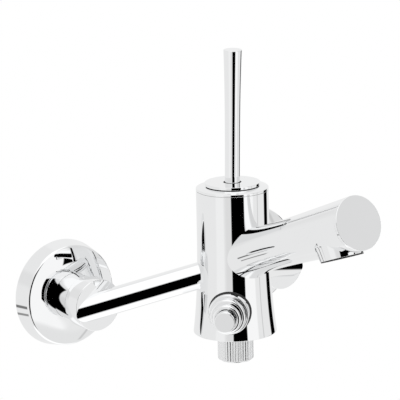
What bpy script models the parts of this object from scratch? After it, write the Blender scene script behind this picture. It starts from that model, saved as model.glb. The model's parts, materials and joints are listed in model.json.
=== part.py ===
"""Wall mounted bath mixer with a joystick lever, a fixed spout and a push button diverter.

Frame: the origin is on the wall's face, midway between the two water inlets. +X is to the right for
someone who faces the wall, -Y comes out of the wall towards them and +Z is up. All sizes are in
millimetres and angles in degrees. MM turns a size into Blender's metres.
"""

import math

import bmesh
import bpy
from mathutils import Vector

MM = 0.001
GAP = 0.3  # room left between two pieces that touch

# Wall connections, each on an axis that runs straight out of the wall
INLET_SPACING = 150.0
FLANGE_R, FLANGE_FRONT, FLANGE_WALL = 35.0, 14.4, 1.6
FLANGE_EDGE_R, FLANGE_EDGE, FLANGE_CROWN_R, FLANGE_CROWN = 33.1, 10.6, 31.3, 12.4
NUT_R, NUT_BORE_R, NUT_START, NUT_LIP = 15.2, 13.5, 3.0, 4.0
NUT_FLAT_R, NUT_FLAT_END = 14.6, 8.0
BOSS_R, BOSS_BACK, BOSS_FACE = 16.8, 29.7, 42.8
BOSS_BORE_R, COLLAR_R = 7.5, 12.9
UNION_R, UNION_FRONT, SPIGOT_R, SPIGOT_DEPTH, SPIGOT_DROP = 13.2, 20.9, 10.4, 20.0, 5.0

# Body, a flared column that stands in front of the wall
BODY_Y = -87.3
BODY_TOP, BODY_BOTTOM = 71.6, -21.1
BODY_TOP_R, BODY_BOTTOM_R, BODY_FLARE = 23.0, 26.7, 3.5
ARM_R, ARM_BORE_R, ARM_Z = 8.5, 6.2, 21.8

# Cartridge inside the body, and the lever that it carries
SEAT_Z, CARTRIDGE_R, THREAD_R, THREAD_Z = 47.0, 17.5, 20.0, 62.0
PORT_R, INLET_PORT_RING, MIXED_PORT_RING = 3.8, 14.0, 9.0
PIVOT_Z, BALL_DROP, BALL_R = 66.0, 6.6, 2.2
LEVER_LEAN = 2.2
LEVER_R, LEVER_TIP_R, LEVER_START, LEVER_END, LEVER_CURVE = 4.8, 5.85, 6.3, 95.5, 3.2
DISC_R, DISC_BOTTOM, DISC_TOP, DISC_HOLE_R = 17.6, 74.8, 76.6, 5.7
CAP_HOLE_R, CAP_SHELF_R, CAP_TOP, CAP_EDGE = 12.5, 18.3, 74.35, 73.0

# Spout, on an axis that leaves the body's axis and climbs towards the user
SPOUT_Z, SPOUT_RISE, SPOUT_LENGTH = 27.1, 20.2, 132.1
SPOUT_END_R, SPOUT_TAPER, SPOUT_WALL = 16.8, 0.038, 2.2
ROOT_FLARE, ROOT_START, ROOT_FADE = 5.0, 15.0, 16.0
PLATE = 2.2
AERATOR_AT, AERATOR_END, AERATOR_R, AERATOR_TOP_R = 109.0, 18.0, 13.4, 15.0
INSERT_R, INSERT_TOP, INSERT_END = 11.0, 10.2, 17.4

# Push button diverter, low on the body and turned to the left
DIVERTER_Z, DIVERTER_TURN = -2.7, 45.0
SPOOL_BORE_R, SPOOL_BORE_END, GUIDE_BORE_R, GUIDE_BORE_START = 7.6, -17.0, 9.9, 11.0
BEZEL_R, GUIDE_R, NECK_R = 13.0, 11.5, 9.3
BUTTON_R, BUTTON_FACE, STEM_R = 6.5, 46.8, 3.0
SPRING_R, SPRING_WIRE_R, SPRING_START, SPRING_END, SPRING_TURNS = 5.7, 0.6, 18.9, 33.3, 5

# Shower outlet under the body
OUTLET_R, OUTLET_BOTTOM, OUTLET_BORE_R, OUTLET_TEETH = 11.5, -39.4, 6.5, 36
OUTLET_SPIGOT_R, OUTLET_SOCKET_TOP = 9.0, -12.0

CHROME = ((0.86, 0.87, 0.88, 1.0), 1.0, 0.05)
BRASS = ((0.72, 0.56, 0.27, 1.0), 1.0, 0.3)
STEEL = ((0.62, 0.62, 0.63, 1.0), 1.0, 0.25)
RUBBER = ((0.03, 0.03, 0.03, 1.0), 0.0, 0.7)
PLASTIC = ((0.85, 0.86, 0.84, 1.0), 0.0, 0.4)
GREY_PLASTIC = ((0.35, 0.36, 0.38, 1.0), 0.0, 0.45)
CERAMIC = ((0.9, 0.88, 0.82, 1.0), 0.0, 0.2)

DOWN, UP, OUT = Vector((0, 0, -1)), Vector((0, 0, 1)), Vector((0, -1, 0))
BODY_AXIS = Vector((0, BODY_Y, 0))
SPOUT_FOOT = Vector((0, BODY_Y, SPOUT_Z))
SPOUT_DIRECTION = Vector((0, -math.cos(math.radians(SPOUT_RISE)), math.sin(math.radians(SPOUT_RISE))))
JET_DIRECTION = Vector((0, -math.sin(math.radians(SPOUT_RISE)), -math.cos(math.radians(SPOUT_RISE))))
DIVERTER_FOOT = Vector((0, BODY_Y, DIVERTER_Z))
DIVERTER_DIRECTION = Vector(
    (-math.sin(math.radians(DIVERTER_TURN)), -math.cos(math.radians(DIVERTER_TURN)), 0)
)
PIVOT = Vector((0, BODY_Y, PIVOT_Z))
LEVER_DIRECTION = Vector((0, -math.sin(math.radians(LEVER_LEAN)), math.cos(math.radians(LEVER_LEAN))))


def clear_scene():
    for item in list(bpy.data.objects):
        bpy.data.objects.remove(item, do_unlink=True)


def finish_material(name, finish):
    colour, metallic, roughness = finish
    material = bpy.data.materials.new(name)
    material.use_nodes = True
    shader = material.node_tree.nodes["Principled BSDF"]
    shader.inputs["Base Color"].default_value = colour
    shader.inputs["Metallic"].default_value = metallic
    shader.inputs["Roughness"].default_value = roughness
    return material


def place(name, bm, origin, direction, finish):
    """Makes the object, with its local Z along the direction. No finish means it is a cutter."""
    mesh = bpy.data.meshes.new(name)
    bm.to_mesh(mesh)
    bm.free()
    item = bpy.data.objects.new(name, mesh)
    bpy.context.scene.collection.objects.link(item)
    item.location = Vector(origin) * MM
    item.rotation_euler = direction.to_track_quat("Z", "Y").to_euler()
    if finish is None:
        item.hide_render = True
        item.display_type = "WIRE"
    else:
        mesh.materials.append(finish_material(name, finish))
        mesh.shade_smooth()
        mesh.set_sharp_from_angle(angle=math.radians(35))
    return item


def spun(profile, steps):
    """Spins a profile of (radius, height) points. It is a closed loop unless it ends on the axis."""
    bm = bmesh.new()
    verts = [bm.verts.new((radius * MM, 0, height * MM)) for radius, height in profile]
    edges = [bm.edges.new(pair) for pair in zip(verts, verts[1:])]
    if profile[0][0] > 0:
        edges.append(bm.edges.new((verts[-1], verts[0])))
    bmesh.ops.spin(
        bm, geom=verts + edges, cent=(0, 0, 0), axis=(0, 0, 1), angle=math.tau, steps=steps
    )
    bmesh.ops.remove_doubles(bm, verts=bm.verts, dist=0.001 * MM)
    bmesh.ops.recalc_face_normals(bm, faces=bm.faces)
    return bm


def turned(name, profile, origin, direction, finish, steps=32):
    return place(name, spun(profile, steps), origin, direction, finish)


def rod(radius, start, end, chamfer=0.0):
    """A solid round bar's profile."""
    return [
        (0, start),
        (radius, start),
        (radius, end - chamfer),
        *([(radius - chamfer, end)] if chamfer else [(radius, end)]),
        (0, end),
    ]


def ring(inner, outer, start, end):
    return [(inner, start), (outer, start), (outer, end), (inner, end)]


def shape(item, operation, tool):
    modifier = item.modifiers.new(tool.name, "BOOLEAN")
    modifier.operation = operation
    modifier.solver = "EXACT"
    modifier.object = tool
    if operation == "UNION":
        tool.hide_render = True
        tool.display_type = "WIRE"


def drill(item, name, radius, start, end, origin, direction, steps=24):
    """Cuts a round hole from start to end, measured along the direction from the origin."""
    shape(item, "DIFFERENCE", turned(name, rod(radius, start, end), origin, direction, None, steps))


def inlet(side):
    return Vector((side * INLET_SPACING / 2, 0, 0))


def arm_line(side):
    """The arm's axis: from the middle of the boss's face to the body's axis."""
    start = inlet(side) + OUT * BOSS_FACE
    end = Vector((0, BODY_Y, ARM_Z))
    return start, end


# Wall connections


def wall_flange(name, side):
    """A cover with a rounded rim and a slightly conical front."""
    hole = NUT_R + GAP
    crown = FLANGE_CROWN - FLANGE_WALL
    profile = [
        (FLANGE_R, 0),
        (FLANGE_EDGE_R, FLANGE_EDGE),
        (FLANGE_EDGE_R - 0.5, FLANGE_EDGE + 1.2),
        (FLANGE_CROWN_R, FLANGE_CROWN),
        (hole, FLANGE_FRONT),
        (hole, FLANGE_FRONT - FLANGE_WALL),
        (FLANGE_CROWN_R - 0.7, crown),
        (FLANGE_EDGE_R - FLANGE_WALL, crown - 1.4),
        (FLANGE_R - FLANGE_WALL, 0),
    ]
    turned(name, profile, inlet(side), OUT, CHROME, 40)


def flange_ring(name, side):
    inner = NUT_R + GAP
    turned(name, ring(inner, inner + 3.0, 9.2, 11.4), inlet(side), OUT, RUBBER, 24)


def union_nut(name, side):
    """A sleeve nut: round where it shows, with six flats near the wall, behind the flange."""
    end = BOSS_BACK - GAP
    profile = [
        (NUT_BORE_R, NUT_START),
        (NUT_R, NUT_START),
        (NUT_R, NUT_FLAT_END),
        (NUT_R, end),
        (COLLAR_R - 2.0, end),
        (COLLAR_R - 2.0, end - NUT_LIP),
        (NUT_BORE_R, end - NUT_LIP),
    ]
    bm = spun(profile, 36)
    for vert in bm.verts:
        if vert.co.z < (NUT_FLAT_END - 0.1) * MM and vert.co.xy.length > (NUT_R - 0.1) * MM:
            angle = math.atan2(vert.co.y, vert.co.x) % (math.tau / 6) - math.tau / 12
            radius = min(NUT_R, NUT_FLAT_R / math.cos(angle))
            vert.co.xy = vert.co.xy.normalized() * radius * MM
    place(name, bm, inlet(side), OUT, CHROME)


def eccentric_union(name, side):
    """The wall thread sits a little lower than the nut's thread, so the spacing can be set."""
    axis = inlet(side)
    low = axis + DOWN * SPIGOT_DROP
    union = turned(name, rod(UNION_R, 0.5, UNION_FRONT), axis, OUT, BRASS)
    spigot = turned(name + "_spigot", rod(SPIGOT_R, -SPIGOT_DEPTH, NUT_START - 0.6), low, OUT, None)
    shape(union, "UNION", spigot)
    drill(union, name + "_front_bore", 8.2, 5.0, UNION_FRONT + 5, axis, OUT)
    drill(union, name + "_wall_bore", 6.5, -SPIGOT_DEPTH - 5, 9.0, low, OUT)


def union_seal(name, side):
    start = UNION_FRONT + GAP
    turned(name, ring(8.2, COLLAR_R, start, start + 1.6), inlet(side), OUT, RUBBER, 24)


def inlet_boss(name, side):
    """The drum that the arm leaves from, with the collared tail that the union nut pulls on."""
    lip_start = BOSS_BACK - GAP - NUT_LIP
    tail_start = UNION_FRONT + GAP + 1.6 + GAP
    tail_r = COLLAR_R - 2.0 - GAP
    profile = [
        (0, BOSS_FACE - 4.0),
        (BOSS_BORE_R, BOSS_FACE - 4.0),
        (BOSS_BORE_R, tail_start),
        (COLLAR_R, tail_start),
        (COLLAR_R, lip_start - GAP),
        (tail_r, lip_start - GAP),
        (tail_r, BOSS_BACK),
        (BOSS_R, BOSS_BACK),
        (BOSS_R, BOSS_FACE - 0.4),
        (BOSS_R - 0.4, BOSS_FACE),
        (0, BOSS_FACE),
    ]
    boss = turned(name, profile, inlet(side), OUT, CHROME, 36)
    start, end = arm_line(side)
    drill(boss, name + "_arm_bore", ARM_BORE_R, -10, 8, start, end - start, 20)


def supply_arm(name, side, body_guard):
    start, end = arm_line(side)
    length = (end - start).length
    arm = turned(name, ring(ARM_BORE_R, ARM_R, -25, length), start, end - start, CHROME, 32)
    guard = turned(name + "_boss_guard", rod(60, 5, BOSS_FACE + GAP), inlet(side), OUT, None, 12)
    shape(arm, "DIFFERENCE", guard)
    shape(arm, "DIFFERENCE", body_guard)


# Body


def body_radius(z):
    """Widens slowly at first and faster near the foot."""
    depth = (BODY_TOP - z) / (BODY_TOP - BODY_BOTTOM)
    return BODY_TOP_R + (BODY_BOTTOM_R - BODY_TOP_R) * depth**BODY_FLARE


def body_side(extra=0.0, rings=7):
    """Outer side from the top down, with the rings closer together where it flares."""
    depths = [(index / (rings - 1)) ** 0.6 for index in range(rings)]
    heights = [BODY_TOP + (BODY_BOTTOM - BODY_TOP) * depth for depth in depths]
    return [(body_radius(z) + extra, z) for z in heights]


def make_body_guard():
    """The body's outside with the gap added, which cuts the pieces that lie against it."""
    side = body_side(GAP)
    profile = [(0, side[0][1] + 1), (side[0][0], side[0][1] + 1), *side, (side[-1][0], side[-1][1] - 1)]
    profile.append((0, side[-1][1] - 1))
    return turned("body_guard", profile, BODY_AXIS, UP, None, 44)


def mixer_body():
    side = body_side()
    top = [(0, SEAT_Z), (CARTRIDGE_R + GAP, SEAT_Z), (CARTRIDGE_R + GAP, THREAD_Z)]
    top += [(THREAD_R, THREAD_Z), (THREAD_R, BODY_TOP)]
    foot = [(side[-1][0] - 0.5, BODY_BOTTOM), (0, BODY_BOTTOM)]
    side[-1] = (side[-1][0], BODY_BOTTOM + 0.5)
    body = turned("mixer_body", top + side + foot, BODY_AXIS, UP, CHROME, 44)
    for label, turn_side in (("hot", -1), ("cold", 1)):
        start, end = arm_line(turn_side)
        outward = (start - end).normalized()
        port = end + outward * INLET_PORT_RING
        drill(body, f"{label}_bore", ARM_BORE_R, INLET_PORT_RING + 1, 34, end, outward)
        drill(body, f"{label}_port", PORT_R, port.z, SEAT_Z + 2, (port.x, port.y, 0), UP, 16)
    mixed = BODY_AXIS + Vector((0, MIXED_PORT_RING, 0))
    drill(body, "mixed_port", PORT_R, DIVERTER_Z, SEAT_Z + 2, mixed, UP, 16)
    drill(body, "spout_bore", 8.5, -4, 40, SPOUT_FOOT, SPOUT_DIRECTION)
    drill(body, "spout_passage", 4.2, DIVERTER_Z, SPOUT_Z, BODY_AXIS + Vector((0, -8, 0)), UP, 16)
    drill(body, "spool_bore", SPOOL_BORE_R, SPOOL_BORE_END, 14, DIVERTER_FOOT, DIVERTER_DIRECTION)
    drill(body, "guide_bore", GUIDE_BORE_R, GUIDE_BORE_START, 40, DIVERTER_FOOT, DIVERTER_DIRECTION)
    drill(body, "outlet_passage", 5.0, OUTLET_SOCKET_TOP - 2, DIVERTER_Z, BODY_AXIS, UP, 16)
    drill(body, "outlet_socket", OUTLET_SPIGOT_R + GAP, BODY_BOTTOM - 5, OUTLET_SOCKET_TOP, BODY_AXIS, UP)


def cap_ring():
    """Closes the body around the lever, with a shelf just under the cover disc."""
    bottom = BODY_TOP + GAP
    skirt_r = THREAD_R - GAP
    profile = [
        (skirt_r, bottom),
        (BODY_TOP_R, bottom),
        (BODY_TOP_R, CAP_EDGE - 0.4),
        (BODY_TOP_R - 0.4, CAP_EDGE),
        (CAP_SHELF_R, CAP_TOP),
        (CAP_HOLE_R, CAP_TOP),
        (CAP_HOLE_R, 72.9),
        (skirt_r - 2.4, 72.3),
        (skirt_r - 2.4, 67.8),
        (skirt_r, 67.8),
    ]
    turned("cap_ring", profile, BODY_AXIS, UP, CHROME, 44)


# Cartridge


def lock_nut():
    turned("cartridge_lock_nut", ring(13.2, THREAD_R - GAP, 64.4, 67.5), BODY_AXIS, UP, BRASS, 28)


def port_centres():
    """Hot, cold and mixed ports in plan."""
    centres = []
    for side in (-1, 1):
        start, end = arm_line(side)
        centre = end + (start - end).normalized() * INLET_PORT_RING
        centres.append((centre.x, centre.y, 0))
    centres.append((0, BODY_Y + MIXED_PORT_RING, 0))
    return centres


def ported_disc(name, radius, bottom, top, finish):
    disc = turned(name, rod(radius, bottom, top), BODY_AXIS, UP, finish)
    for number, centre in enumerate(port_centres()):
        drill(disc, f"{name}_port_{number}", PORT_R - 0.6, bottom - 3, top + 3, centre, UP, 12)


def cartridge_stack():
    """Gasket, base and fixed ceramic disc, from the seat up. Water passes all three."""
    ported_disc("cartridge_gasket", 17.2, 47.3, 48.1, RUBBER)
    ported_disc("cartridge_base", CARTRIDGE_R, 48.4, 51.2, GREY_PLASTIC)
    ported_disc("ceramic_disc_fixed", 15.5, 51.5, 53.9, CERAMIC)


def cartridge_housing():
    profile = [
        (CARTRIDGE_R, 51.5),
        (CARTRIDGE_R, 64.1),
        (12.6, 64.1),
        (12.6, 70.0),
        (10.0, 70.0),
        (10.0, 61.4),
        (15.9, 61.4),
        (15.9, 51.5),
    ]
    turned("cartridge_housing", profile, BODY_AXIS, UP, GREY_PLASTIC, 28)


def carrier_axis():
    """The lever leans a little at rest, so the ball has pushed the carrier off the body's axis."""
    return Vector((0, BODY_Y + BALL_DROP * math.sin(math.radians(LEVER_LEAN)), 0))


def moving_disc():
    """Its waterway joins the ports in turn as it slides and turns on the fixed disc."""
    disc = turned("ceramic_disc_moving", rod(10.5, 54.2, 56.0), carrier_axis(), UP, CERAMIC)
    drill(disc, "waterway", 5.0, 53, 55.2, carrier_axis() + Vector((0, 2, 0)), UP, 20)


def disc_carrier():
    profile = [(0, 56.3), (10.5, 56.3), (10.5, 60.4), (BALL_R + 0.4, 60.4), (BALL_R + 0.4, 56.9), (0, 56.9)]
    turned("disc_carrier", profile, carrier_axis(), UP, PLASTIC, 28)


def lever_cage():
    """Turns in the housing's neck and holds the pin that the lever tilts on."""
    cage = turned("lever_cage", ring(5.7, 9.7, 62.8, 69.5), BODY_AXIS, UP, STEEL, 32)
    drill(cage, "cage_pin_hole", 1.3, -15, 15, PIVOT, Vector((1, 0, 0)), 12)


def pivot_pin():
    turned("pivot_pin", rod(1.0, -9.2, 9.2), PIVOT, Vector((1, 0, 0)), STEEL, 12)


def lever_spindle():
    """Heights are from the pivot along the lever. The ball at the foot drives the carrier."""
    arc = [math.radians(angle) for angle in (-90, -54, -18, 18, 40)]
    ball = [(BALL_R * math.cos(a), BALL_R * math.sin(a) - BALL_DROP) for a in arc]
    ball[0] = (0, -BALL_DROP - BALL_R)
    shank = [(1.7, -3.6), (3.6, -3.2), (3.6, LEVER_START - GAP), (2.2, LEVER_START - GAP), (2.2, 17.0), (0, 17.0)]
    spindle = turned("lever_spindle", ball + shank, PIVOT, LEVER_DIRECTION, STEEL, 20)
    drill(spindle, "spindle_pin_hole", 1.3, -8, 8, PIVOT, Vector((1, 0, 0)), 12)


def lever_radius(height):
    return LEVER_R + (LEVER_TIP_R - LEVER_R) * ((height - LEVER_START) / (LEVER_END - LEVER_START)) ** LEVER_CURVE


def lever_rod():
    """A slim stick that swells towards its tip. Heights are from the pivot along the lever."""
    count = 7
    heights = [LEVER_START + (LEVER_END - 0.5 - LEVER_START) * (i / count) ** 0.7 for i in range(count + 1)]
    side = [(lever_radius(height), height) for height in heights]
    bore = [(0, 18.0), (2.5, 18.0), (2.5, LEVER_START)]
    tip = [(side[-1][0] - 0.5, LEVER_END), (0, LEVER_END)]
    turned("lever_rod", bore + side + tip, PIVOT, LEVER_DIRECTION, CHROME, 28)


def cover_disc():
    """Lies on the cap ring and slides with the lever, so that the opening below stays covered."""
    offset = (0.5 * (DISC_BOTTOM + DISC_TOP) - PIVOT_Z) * math.tan(math.radians(LEVER_LEAN))
    profile = [
        (DISC_HOLE_R, DISC_BOTTOM),
        (DISC_R, DISC_BOTTOM),
        (DISC_R, DISC_TOP - 0.3),
        (DISC_R - 0.3, DISC_TOP),
        (DISC_HOLE_R, DISC_TOP),
    ]
    turned("cover_disc", profile, BODY_AXIS + Vector((0, -offset, 0)), UP, CHROME, 40)


# Spout


def spout_radius(distance):
    """A slow taper from the end back to the waist, and a flare where it meets the body."""
    flare = ROOT_FLARE * math.exp((ROOT_START - distance) / ROOT_FADE)
    return SPOUT_END_R - SPOUT_TAPER * (SPOUT_LENGTH - distance) + flare


def spout_side(extra, start, end, rings=9):
    stations = [start + (end - start) * (i / rings) ** 1.5 for i in range(rings + 1)]
    return [(spout_radius(at) + extra, at) for at in stations]


def make_spout_guard():
    side = spout_side(GAP, 60, SPOUT_LENGTH, 3)
    return turned("spout_guard", [(0, 60), *side, (0, SPOUT_LENGTH)], SPOUT_FOOT, SPOUT_DIRECTION, None, 40)


def jet_origin():
    return SPOUT_FOOT + SPOUT_DIRECTION * AERATOR_AT


def spout_tube(body_guard):
    end = SPOUT_LENGTH - PLATE - GAP
    outer = spout_side(0, 4, end)
    inner = spout_side(-SPOUT_WALL, 4, end, 4)
    spout = turned("spout_tube", outer + inner[::-1], SPOUT_FOOT, SPOUT_DIRECTION, CHROME, 40)
    shape(spout, "DIFFERENCE", body_guard)
    drill(spout, "jet_hole", INSERT_R + GAP, 4, 25, jet_origin(), JET_DIRECTION, 32)


def spout_end_plate():
    face = SPOUT_LENGTH
    plug_r = spout_radius(face - PLATE) - SPOUT_WALL - GAP - 0.1
    profile = [
        (0, face - PLATE - 3.0),
        (plug_r, face - PLATE - 3.0),
        (plug_r, face - PLATE),
        (SPOUT_END_R - 0.1, face - PLATE),
        (SPOUT_END_R, face - 0.8),
        (SPOUT_END_R - 0.8, face),
        (0, face),
    ]
    turned("spout_end_plate", profile, SPOUT_FOOT, SPOUT_DIRECTION, CHROME, 40)


def aerator_housing(spout_guard):
    """A short tapered collar that comes out of the spout's underside."""
    bore = INSERT_R + GAP
    profile = [(bore, 5), (AERATOR_TOP_R, 5), (AERATOR_TOP_R, 8), (AERATOR_R, AERATOR_END), (bore, AERATOR_END)]
    housing = turned("aerator_housing", profile, jet_origin(), JET_DIRECTION, CHROME, 32)
    shape(housing, "DIFFERENCE", spout_guard)


def aerator_insert():
    insert = turned("aerator_insert", rod(INSERT_R, INSERT_TOP, INSERT_END, 0.4), jet_origin(), JET_DIRECTION, PLASTIC)
    for count, circle in ((6, 3.8), (12, 7.6)):
        for index in range(count):
            angle = math.tau * index / count
            across = Vector((math.cos(angle), 0, 0)) + SPOUT_DIRECTION * math.sin(angle)
            centre = jet_origin() + across * circle
            drill(insert, f"jet_{count}_{index}", 1.2, 5, 25, centre, JET_DIRECTION, 6)


def aerator_washer():
    turned("aerator_washer", ring(8.0, INSERT_R, 8.6, INSERT_TOP - GAP), jet_origin(), JET_DIRECTION, RUBBER, 24)


# Diverter


def along_diverter(name, profile, finish, steps=28):
    return turned(name, profile, DIVERTER_FOOT, DIVERTER_DIRECTION, finish, steps)


def diverter_bezel(body_guard):
    inner = GUIDE_BORE_R
    profile = [(inner, 15), (BEZEL_R, 15), (BEZEL_R, 27.2), (BEZEL_R - 0.5, 28.5), (11.7, 29.3), (inner, 29.3)]
    shape(along_diverter("diverter_bezel", profile, CHROME), "DIFFERENCE", body_guard)


def diverter_guide():
    """Screws into the body, shows as two steps, and guides the button. Its floor stops the spring."""
    shank_r = GUIDE_BORE_R - GAP
    profile = [
        (STEM_R + 0.4, 15.4),
        (shank_r, 15.4),
        (shank_r, 29.6),
        (GUIDE_R, 29.6),
        (GUIDE_R, 33.4),
        (GUIDE_R - 0.6, 34.6),
        (NECK_R, 35.2),
        (NECK_R, 38.2),
        (NECK_R - 0.6, 39.4),
        (BUTTON_R + GAP, 40.0),
        (BUTTON_R + GAP, 36.4),
        (8.3, 36.4),
        (8.3, 18.6),
        (STEM_R + 0.4, 18.6),
    ]
    along_diverter("diverter_guide", profile, CHROME)


def diverter_button():
    profile = [
        (0, 37.0),
        (STEM_R + GAP, 37.0),
        (STEM_R + GAP, 33.8),
        (7.8, 33.8),
        (7.8, 36.0),
        (BUTTON_R, 36.0),
        (BUTTON_R, BUTTON_FACE - 0.6),
        (BUTTON_R - 0.6, BUTTON_FACE),
        (0, BUTTON_FACE),
    ]
    along_diverter("diverter_button", profile, CHROME)


def diverter_stem():
    """Carries both seals in grooves between its shoulders."""
    profile = [(0, -11.0), (STEM_R, -11.0), (STEM_R, 36.7), (0, 36.7)]
    along_diverter("diverter_stem", profile, BRASS, 20)


def spool_seal(name, start):
    along_diverter(name, ring(STEM_R + GAP, SPOOL_BORE_R - GAP, start, start + 2.4), RUBBER, 24)


def diverter_spring():
    """A closed tube that follows a helix, with flat ends."""
    bm = bmesh.new()
    sides, per_turn = 5, 10
    count = SPRING_TURNS * per_turn
    rise = (SPRING_END - SPRING_START - 2 * SPRING_WIRE_R) / count
    loops = []
    for step in range(count + 1):
        angle = math.tau * step / per_turn
        outward = Vector((math.cos(angle), math.sin(angle), 0))
        centre = outward * SPRING_R + UP * (SPRING_START + SPRING_WIRE_R + rise * step)
        loop = []
        for side in range(sides):
            turn = math.tau * side / sides
            point = centre + (outward * math.cos(turn) + UP * math.sin(turn)) * SPRING_WIRE_R
            loop.append(bm.verts.new(point * MM))
        loops.append(loop)
    for low, high in zip(loops, loops[1:]):
        for side in range(sides):
            after = (side + 1) % sides
            bm.faces.new((low[side], low[after], high[after], high[side]))
    bm.faces.new(loops[0])
    bm.faces.new(loops[-1])
    bmesh.ops.recalc_face_normals(bm, faces=bm.faces)
    place("diverter_spring", bm, DIVERTER_FOOT, DIVERTER_DIRECTION, STEEL)


# Shower outlet


def shower_outlet():
    """A straight-knurled connector. Every second edge of its side is pulled in to make the teeth."""
    top = BODY_BOTTOM - GAP
    profile = [
        (OUTLET_BORE_R, OUTLET_SOCKET_TOP - GAP),
        (OUTLET_SPIGOT_R, OUTLET_SOCKET_TOP - GAP),
        (OUTLET_SPIGOT_R, top),
        (OUTLET_R, top),
        (OUTLET_R, OUTLET_BOTTOM + 0.5),
        (OUTLET_R - 0.7, OUTLET_BOTTOM),
        (10.0, OUTLET_BOTTOM),
        (10.0, OUTLET_BOTTOM - 0.8),
        (OUTLET_BORE_R, OUTLET_BOTTOM - 0.8),
    ]
    steps = 2 * OUTLET_TEETH
    bm = spun(profile, steps)
    for vert in bm.verts:
        index = round(math.atan2(vert.co.y, vert.co.x) / math.tau * steps)
        if index % 2 and vert.co.xy.length > (OUTLET_R - 0.1) * MM:
            vert.co.xy *= (OUTLET_R - 0.5) / OUTLET_R
    place("shower_outlet", bm, BODY_AXIS, UP, CHROME)


def build():
    clear_scene()
    body_guard = make_body_guard()
    for label, side in (("left", -1), ("right", 1)):
        wall_flange(f"wall_flange_{label}", side)
        flange_ring(f"flange_ring_{label}", side)
        eccentric_union(f"eccentric_union_{label}", side)
        union_seal(f"union_seal_{label}", side)
        union_nut(f"union_nut_{label}", side)
        inlet_boss(f"inlet_boss_{label}", side)
        supply_arm(f"supply_arm_{label}", side, body_guard)
    mixer_body()
    cap_ring()
    lock_nut()
    cartridge_stack()
    cartridge_housing()
    moving_disc()
    disc_carrier()
    lever_cage()
    pivot_pin()
    lever_spindle()
    lever_rod()
    cover_disc()
    spout_tube(body_guard)
    spout_end_plate()
    aerator_housing(make_spout_guard())
    aerator_insert()
    aerator_washer()
    diverter_bezel(body_guard)
    diverter_guide()
    diverter_button()
    diverter_stem()
    spool_seal("spool_seal_front", 8.2)
    spool_seal("spool_seal_back", -8.4)
    diverter_spring()
    shower_outlet()


build()
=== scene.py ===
import json
import math

import bpy
import numpy as np
from bpy.props import FloatProperty, FloatVectorProperty, IntProperty, PointerProperty
from mathutils import Matrix, Vector


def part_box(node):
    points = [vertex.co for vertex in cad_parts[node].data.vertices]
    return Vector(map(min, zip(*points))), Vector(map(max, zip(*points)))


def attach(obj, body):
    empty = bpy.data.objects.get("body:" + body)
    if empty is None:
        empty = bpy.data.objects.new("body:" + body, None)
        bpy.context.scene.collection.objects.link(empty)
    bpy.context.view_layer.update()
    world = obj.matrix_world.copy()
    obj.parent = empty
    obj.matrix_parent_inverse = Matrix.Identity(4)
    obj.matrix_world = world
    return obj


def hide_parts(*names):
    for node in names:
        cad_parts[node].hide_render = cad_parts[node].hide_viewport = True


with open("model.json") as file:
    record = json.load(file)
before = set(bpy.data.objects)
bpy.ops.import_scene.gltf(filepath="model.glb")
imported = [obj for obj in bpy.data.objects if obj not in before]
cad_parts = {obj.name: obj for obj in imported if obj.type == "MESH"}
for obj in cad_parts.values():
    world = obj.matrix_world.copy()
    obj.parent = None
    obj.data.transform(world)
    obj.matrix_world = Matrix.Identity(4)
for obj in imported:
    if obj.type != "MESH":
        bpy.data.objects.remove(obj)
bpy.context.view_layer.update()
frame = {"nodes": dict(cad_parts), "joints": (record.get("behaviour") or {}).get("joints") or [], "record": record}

bl_info = {
    "name": "Wall Mounted Bath Mixer",
    "version": (1, 0, 0),
    "blender": (4, 5, 0),
    "location": "3D View > Sidebar > Bath Mixer",
    "description": "Fine surfaces and finishes for a wall mounted bath mixer, around its packed frame",
    "category": "Object",
}

MM = 0.001
TAU = 2 * np.pi
OUT = np.array((0.0, -1.0, 0.0))
UP = np.array((0.0, 0.0, 1.0))


# The frame -----------------------------------------------------------------------------------


def joint(name):
    return next(j for j in frame["joints"] if j["name"] == name)


def node_box(name):
    """A node's lowest and highest corner, in metres."""
    low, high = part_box(name)
    return np.array(low), np.array(high)


def node_middle(name):
    low, high = node_box(name)
    return (low + high) / 2


PIVOT = np.array(joint("handle_tilt")["pos_m"])
BODY_AXIS = np.array((0.0, PIVOT[1], 0.0))
PUSH = np.array(joint("diverter_push")["axis"])


# Sizes, in millimetres and degrees -----------------------------------------------------------

# Turned pieces start this far from their axis, and fans close them
PIN = 0.3

# Wall covers. DOME is the flange's fall per square millimetre, and the nut spreads by NECK_TAPER
FLANGE_WALL, RIM_STEP, DOME = 1.6, 2.2, 0.0088
NUT_BORE_R, NECK_TAPER = 13.5, 0.3
DRUM_DEPTH, TAIL_R, TAIL_SHOWN = 13.1, 10.6, 5.0

# Arms, from the middle of the drum's face up to the body's axis, where they stop ARM_SHORT before it
ARM_R, ARM_CLIMB, ARM_SHORT = 8.5, 21.8, 12.0

# Column and cap ring
RECESS, SOCKET_R, SOCKET = 2.4, 9.6, 6.0
CAP_HOLE_R, SHELF_R = 12.5, 18.3

# Lever, measured from its pivot
LEVER_LEAN, LEVER_R, LEVER_TIP_R = 2.2, 4.8, 5.85
LEVER_START, LEVER_END = 6.3, 95.658

# Spout, on an axis that climbs away from the column, and the aerator that hangs under it
SPOUT_START, SPOUT_LENGTH, SPOUT_END_R = 4.0, 132.1, 16.8
PLATE, PLATE_SEAT_R = 2.2, 13.0
JET_AT, COLLAR_BORE_R, COLLAR_END = 109.0, 11.3, 18.0
SPOUT_RISE = math.radians(20.2)
SPOUT_FOOT = BODY_AXIS + UP * 27.1 * MM
SPOUT_ALONG = OUT * math.cos(SPOUT_RISE) + UP * math.sin(SPOUT_RISE)
JET = OUT * math.sin(SPOUT_RISE) - UP * math.cos(SPOUT_RISE)

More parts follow.
